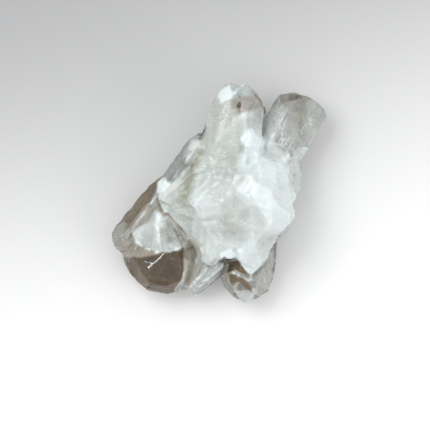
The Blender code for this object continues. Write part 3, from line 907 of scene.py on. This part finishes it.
# The material of the stone. A noise has its cells in a metre, or in a millimetre of the grain and the
# rays, then its detail, roughness and distortion.
quartzLook = {
    "clear": (0.96, 0.945, 0.915, 1),
    "smoke": (0.31, 0.225, 0.14, 1),
    "milkBright": (0.81, 0.88, 0.89, 1),
    "milkGrey": (0.455, 0.475, 0.435, 1),
    "milkTan": (0.44, 0.405, 0.345, 1),
    "milkOlive": (0.345, 0.355, 0.285, 1),
    # smokeLight and smokeDark give the brown of smoky parts, which on the smoky crystal is partly painted
    # shadow
    "smokeLight": (0.25, 0.2, 0.13, 1),
    "smokeDark": (0.105, 0.07, 0.038, 1),
    "ior": 1.544,
    "subsurface": 0.85,
    "subsurfaceReach": 1.9 * mm,
    "cloud": (130, 5, 0.6, 0.6),
    "fine": (700, 4, 0.6),
    "speck": (2600, 3, 0.6),
    "fibres": (1.0, 4, 0.6, 0.4),
    "fibreStretch": (0.22, 1.9, 1.9),
    "drift": (1.0, 3, 0.6),
    "driftStretch": (0.1, 0.3, 0.3),
    "rays": (1.0, 3, 0.6),
    "flecksAndGlints": (1900, 2, 0.5),
    "flecksAndGlintsPlaces": (150, 3, 0.6),
    "blotch": (75, 4, 0.45, 0.4),
    "milkSpan": (0.1, 1.0),  # clear at the first value and all milky at the second
    "tanSpan": (0.0, 0.5),  # smokiness between which the milk turns tan
    "brownSpan": (0.4, 0.9),  # and then brown
    "toneSpan": (0.0, 1.1),
    "bumpDepth": 0.25 * mm,
}


def quartzMaterial():
    material, m = newMaterial("clear_quartz")
    look = quartzLook
    place, grain = m.place(), m.attribute("grain", "Vector")
    cloud, fine, speck = (m.noise(place, *look[name]) for name in ("cloud", "fine", "speck"))
    smoke = m.attribute("smoke")
    fibres = m.noise(m.stretch(grain, look["fibreStretch"]), *look["fibres"])
    drift = m.noise(m.stretch(grain, look["driftStretch"]), *look["drift"])
    rays = m.noise(m.attribute("polar", "Vector"), *look["rays"])
    streak = fibres.within(0.5, 0.62) * drift.within(0.4, 0.6) * m.attribute("fibre") * 0.45
    milkiness = m.attribute("milk") + (cloud - 0.5) * 0.5 + streak + m.attribute("fan") * (rays - 0.5) * 0.8

    clear = m.add("ShaderNodeBsdfPrincipled", {}, {
        "Base Color": m.blend(smoke, look["clear"], look["smoke"]),
        "Roughness": fine.within(0.42, 0.7) * 0.14 + 0.03,
        "IOR": look["ior"],
        "Transmission Weight": 1.0,
        "Normal": m.bump(fine + speck * 0.3, 0.25, look["bumpDepth"]),
    })
    # White flecks and painted glints: small bright specks that raise the tone of the milky quartz
    flecksAndGlints = m.noise(place, *look["flecksAndGlints"]).within(0.57, 0.66)
    flecksAndGlints = flecksAndGlints * m.noise(place, *look["flecksAndGlintsPlaces"]).within(0.46, 0.6)
    blotch = m.noise(place, *look["blotch"]) - 0.5
    tone = m.attribute("tone") + blotch * 0.45 + (fine - 0.5) * 0.05 + flecksAndGlints * 0.5
    light = tone.within(*look["toneSpan"])
    milk = m.blend(light, look["milkGrey"], look["milkBright"])
    milk = m.blend(m.attribute("olive"), milk, look["milkOlive"])
    milk = m.blend(smoke.within(*look["tanSpan"]), milk, look["milkTan"])
    brown = m.blend(light, look["smokeDark"], look["smokeLight"])
    milky = m.add("ShaderNodeBsdfPrincipled", {}, {
        "Base Color": m.blend(smoke.within(*look["brownSpan"]), milk, brown),
        "Roughness": fine.within(0.3, 0.7) * 0.25 + 0.12,
        "IOR": look["ior"],
        "Subsurface Weight": look["subsurface"],
        "Subsurface Radius": (1, 1, 1),
        "Subsurface Scale": look["subsurfaceReach"],
        "Normal": m.bump(fine * 0.8 + speck * 0.4, 0.15, look["bumpDepth"]),
    })
    mask = milkiness.within(*look["milkSpan"])
    m.finish(m.add("ShaderNodeMixShader", {}, {0: mask, 1: clear, 2: milky}))
    return material


# Fine white needles where healed cracks reach the surface, in millimetres: the line that they follow in
# plan, how far they spread from it, how many, their length, their direction in plan, how much it varies,
# and how thick they are beside the usual
veils = {
    "rightVeil": dict(
        path=((18.6, 27.4), (17, 24.2), (16.2, 20), (17.6, 16.4), (19.9, 13.9), (21.6, 11)),
        spread=0.8, count=620, length=(0.5, 2), way=(0.1, 1), lean=0.2, thick=1.3,
    ),
    "rightLow": dict(
        path=((16.4, 12.6), (19, 14.6), (22.4, 16.8)),
        spread=0.8, count=170, length=(0.4, 1.2), way=(0.5, 1), lean=0.3,
    ),
    "rightSparks": dict(
        path=((25.8, 22.6), (25.2, 20.2), (23.2, 17.8)),
        spread=0.55, count=170, length=(0.2, 0.8), way=(0.5, 1), lean=0.7, thick=1.5,
    ),
    "sideVeil": dict(
        path=((21.8, 8.4), (21, 4.6), (20.6, 1)),
        spread=0.7, count=150, length=(0.3, 1), way=(0.1, 1), lean=0.4,
    ),
    "smokyThread": dict(
        path=((-15.6, -16.8), (-16.5, -17.9), (-17.9, -19.2), (-19.4, -20.3)),
        spread=0.08, count=120, length=(0.4, 1), way=(1, 0.95), lean=0.15, thick=1.8,
    ),
    "smokyKnot": dict(
        path=((-19.8, -20.8), (-19.2, -20.2)),
        spread=0.2, count=60, length=(0.3, 0.7), way=(1, 0.6), lean=0.6, thick=2,
    ),
    "smokyBranch": dict(
        path=((-18.6, -19.6), (-20.6, -19.3)),
        spread=0.06, count=30, length=(0.3, 0.8), way=(1, -0.2), lean=0.2, thick=1.5,
    ),
    "smokyEdge": dict(
        path=((-27.6, -14.9), (-24.6, -16.8), (-21, -17.8)),
        spread=0.6, count=60, length=(0.15, 0.5), way=(1, -0.6), lean=0.7,
    ),
    "smokySparks": dict(
        path=((-25, -21), (-20, -24.4), (-12, -23.6), (-12.8, -18.2)),
        spread=1.8, count=44, length=(0.1, 0.4), way=(1, 0.3), lean=0.9,
    ),
    "smokyCluster": dict(
        path=((-13.8, -18), (-12, -18.3)),
        spread=0.35, count=30, length=(0.15, 0.5), way=(1, 0.2), lean=0.7,
    ),
    "fanLeft": dict(
        path=((-24, -9.4), (-21, -10), (-20, -12.2)),
        spread=0.7, count=80, length=(0.2, 0.6), way=(0.6, 1), lean=0.5,
    ),
    "fanRight": dict(
        path=((-15.2, -9.6), (-12.8, -12), (-11.4, -13.8)),
        spread=0.7, count=130, length=(0.2, 0.6), way=(-0.5, 1), lean=0.5,
    ),
    "tipSparks": dict(
        path=((-27, -8.2), (-25.6, -9.2)),
        spread=0.4, count=40, length=(0.2, 0.5), way=(1, 0.6), lean=0.6,
    ),
    "lowerSparks": dict(
        path=((14, -17.6), (12.8, -20.6), (12.4, -23.4), (11.6, -27)),
        spread=0.8, count=240, length=(0.2, 0.8), way=(0.3, 1), lean=0.6, thick=1.3,
    ),
    "lowerFoot": dict(
        path=((6, -28.2), (9.6, -28.8)),
        spread=0.4, count=40, length=(0.2, 0.5), way=(1, 0.2), lean=0.6,
    ),
    "towerSparks": dict(
        path=((9.4, 28.2), (10.6, 26), (10.4, 24)),
        spread=0.4, count=50, length=(0.2, 0.6), way=(0.4, -1), lean=0.5,
    ),
    "besideRoot": dict(
        path=((-10, -13), (-7.6, -16), (-7, -19.6)),
        spread=0.5, count=70, length=(0.2, 0.5), way=(0.4, -1), lean=0.6,
    ),
}
needles = {
    "thickness": 0.04,
    "uneven": (0.5, 1.5),
    "sides": 4,
    "taper": 0.1,  # the width of the thin end, as a share of the thick one
    "depth": (-0.01, 0.12),
    "seed": 31,
    "dark": (0.82, 0.85, 0.84, 1),
    "light": (0.95, 0.96, 0.95, 1),
    "roughness": 0.3,
}


def needleSeeds(cluster):
    # Where each needle starts on the surface, which way it points, and how long and thick it is
    mesh = cluster.data
    corners = [vert.co / mm for vert in mesh.vertices]
    skin = BVHTree.FromPolygons(corners, [face.vertices for face in mesh.polygons])
    pick = np.random.default_rng(needles["seed"])
    over = 99  # a height above the whole stone
    spots, ways, sizes, widths = [], [], [], []
    for veil in veils.values():
        path = np.array(veil["path"])
        along = np.concatenate(([0], np.cumsum(np.linalg.norm(np.diff(path, axis=0), axis=1))))
        for _ in range(veil["count"]):
            reach = pick.uniform(0, along[-1])
            aside = pick.normal(0, veil["spread"], 2)
            x, y = (np.interp(reach, along, path[:, k]) + aside[k] for k in (0, 1))
            depth = pick.uniform(*needles["depth"])
            size = pick.uniform(*veil["length"])
            way = Vector(veil["way"]).normalized() + Vector(pick.normal(0, veil["lean"], 2))
            step = way.normalized().to_3d() * size / 2
            starts = (Vector((x, y, over)) + side * step for side in (-1, 1))
            ends = [skin.ray_cast(start, Vector((0, 0, -1)))[0] for start in starts]
            if None in ends or abs(ends[0].z - ends[1].z) > size:
                continue
            spots.append((ends[0] - Vector((0, 0, depth))) * mm)
            ways.append((ends[1] - ends[0]).normalized())
            sizes.append((ends[1] - ends[0]).length * mm)
            widths.append(veil.get("thick", 1.0))
    return spots, ways, sizes, widths


def namedInput(g, name, kind="FLOAT"):
    return g.add("GeometryNodeInputNamedAttribute", {"data_type": kind}, {"Name": name})


def needleTree():
    tree = bpy.data.node_groups.new("growNeedles", "GeometryNodeTree")
    kinds = {"Seeds": "Geometry", "Thickness": "Float", "Sides": "Int", "Seed": "Int", "Material": "Material"}
    for name, kind in kinds.items():
        tree.interface.new_socket(name, in_out="INPUT", socket_type="NodeSocket" + kind)
    tree.interface.new_socket("Needles", in_out="OUTPUT", socket_type="NodeSocketGeometry")
    g = Maker(tree)
    given = {name: g.add("NodeGroupInput", output=name) for name in kinds}
    way = namedInput(g, "way", "FLOAT_VECTOR")
    size = namedInput(g, "size")
    width = namedInput(g, "width")
    least, most = needles["uneven"]
    random = {2: least, 3: most, "Seed": given["Seed"]}
    uneven = g.add("FunctionNodeRandomValue", {"data_type": "FLOAT"}, random, output=1)
    wide = given["Thickness"] * uneven * width
    spike = g.add("GeometryNodeMeshCone", {}, {
        "Vertices": given["Sides"], "Radius Top": needles["taper"], "Radius Bottom": 1.0, "Depth": 1.0,
    })
    turned = g.add("FunctionNodeAlignRotationToVector", {"axis": "Z"}, {"Vector": way})
    scale = g.add("ShaderNodeCombineXYZ", {}, {0: wide, 1: wide, 2: size})
    placed = g.add("GeometryNodeInstanceOnPoints", {}, {
        "Points": given["Seeds"], "Instance": spike, "Rotation": turned, "Scale": scale,
    })
    real = g.add("GeometryNodeRealizeInstances", {}, {0: placed})
    dressed = g.add("GeometryNodeSetMaterial", {}, {"Geometry": real, "Material": given["Material"]})
    g.add("NodeGroupOutput", {}, {0: dressed})
    return tree


def growNeedles(cluster, material):
    spots, ways, sizes, widths = needleSeeds(cluster)
    seeds = bpy.data.meshes.new("needleSeeds")
    seeds.from_pydata(spots, [], [])
    storeVectors(seeds, "way", np.array(ways))
    storeFloats(seeds, "size", np.array(sizes))
    storeFloats(seeds, "width", np.array(widths))
    holder = newObject("needleSeeds", seeds)
    modifier = holder.modifiers.new("Needles", "NODES")
    modifier.node_group = needleTree()
    given = {"Thickness": needles["thickness"] * mm, "Sides": needles["sides"], "Seed": needles["seed"]}
    given["Material"] = material
    for item in modifier.node_group.interface.items_tree:
        if item.in_out == "INPUT" and item.name in given:
            modifier[item.identifier] = given[item.name]
    mesh = builtMesh(holder)
    mesh.name = "veilNeedles"
    return newObject("veilNeedles", mesh)


def needleMaterial():
    material, m = newMaterial("veil_needles")
    shade = m.blend(m.noise(m.place(), 900, 2).within(0.35, 0.65), needles["dark"], needles["light"])
    m.finish(m.add("ShaderNodeBsdfPrincipled", {}, {
        "Base Color": shade, "Roughness": needles["roughness"], "IOR": quartzLook["ior"],
    }))
    return material


def buildFloor():
    mesh = bpy.data.meshes.new("studioFloor")
    bm = bmesh.new()
    bmesh.ops.create_grid(bm, x_segments=4, y_segments=4, size=studio["floorSize"])
    bm.to_mesh(mesh)
    bm.free()
    floor = newObject("studioFloor", mesh)
    floor.location.z = -studio["floorDrop"]
    material, m = newMaterial("studio_floor")
    across, along, _ = m.split(m.place())
    cloud = (m.noise(m.place(), 6, 2) - 0.5) * studio["floorCloud"]
    # Painted shade: the floor's colour darkens towards +y
    slope = (along - across * studio["floorTurn"] + cloud).within(*studio["floorFade"])
    colour = m.blend(slope, studio["floorNear"], studio["floorFar"])
    paint = {"Base Color": colour, "Roughness": studio["floorRoughness"]}
    m.finish(m.add("ShaderNodeBsdfPrincipled", {}, paint))
    mesh.materials.append(material)


def areaLight(name, given):
    lamp = bpy.data.lights.new(name, "AREA")
    lamp.shape = "RECTANGLE"
    lamp.size, lamp.size_y = given["size"]
    lamp.energy = given["power"]
    lamp.color = given["colour"]
    holder = newObject(name, lamp)
    holder.location = given["place"]
    holder.rotation_euler = (Vector(lightAim) - Vector(given["place"])).to_track_quat("-Z", "Y").to_euler()


def buildSky():
    world = bpy.data.worlds.new("softSky")
    world.use_nodes = True
    scene.world = world
    m = Maker(world.node_tree)
    up = m.split(m.add("ShaderNodeTexCoord", output="Generated"))[2]
    stops = ((0.0, studio["skyLow"]), (studio["skyTop"], studio["skyHigh"]))
    colour = m.add("ShaderNodeValToRGB", {"stops": stops}, {0: up})
    light = m.add("ShaderNodeBackground", {}, {"Color": colour, "Strength": studio["skyStrength"]})
    m.add("ShaderNodeOutputWorld", {}, {"Surface": light})


def buildCamera():
    camera = bpy.data.cameras.new("camera")
    pixel, wide = studio["pixel"], studio["picture"]
    camera.sensor_width = studio["sensor"]
    camera.lens = camera.sensor_width * studio["cameraHeight"] / (wide * pixel)
    holder = newObject("camera", camera)
    aside = (wide / 2 - studio["originPixel"][0]) * pixel
    along = (studio["originPixel"][1] - wide / 2) * pixel
    holder.location = (aside, along, studio["focusHeight"] + studio["cameraHeight"])
    scene.camera = holder


def renderSettings():
    scene.view_settings.view_transform = "Standard"
    scene.cycles.use_denoising = True
    scene.cycles.max_bounces = 20
    scene.cycles.transmission_bounces = 18
    scene.cycles.glossy_bounces = 8
    scene.cycles.diffuse_bounces = 6
    scene.cycles.transparent_max_bounces = 24
    scene.cycles.sample_clamp_indirect = 6


buildCamera()
buildFloor()
buildSky()
for name, given in lights.items():
    areaLight(name, given)
renderSettings()
print("studio, floor and camera ready")

cluster = buildCluster()
cluster.data.materials.clear()
cluster.data.materials.append(quartzMaterial())
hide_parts("quartz_cluster")
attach(cluster, "root")
print("cluster surface:", len(cluster.data.polygons), "faces")

needlePiece = growNeedles(cluster, needleMaterial())
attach(needlePiece, "root")
print("needles in the veils:", len(needlePiece.data.polygons), "faces")
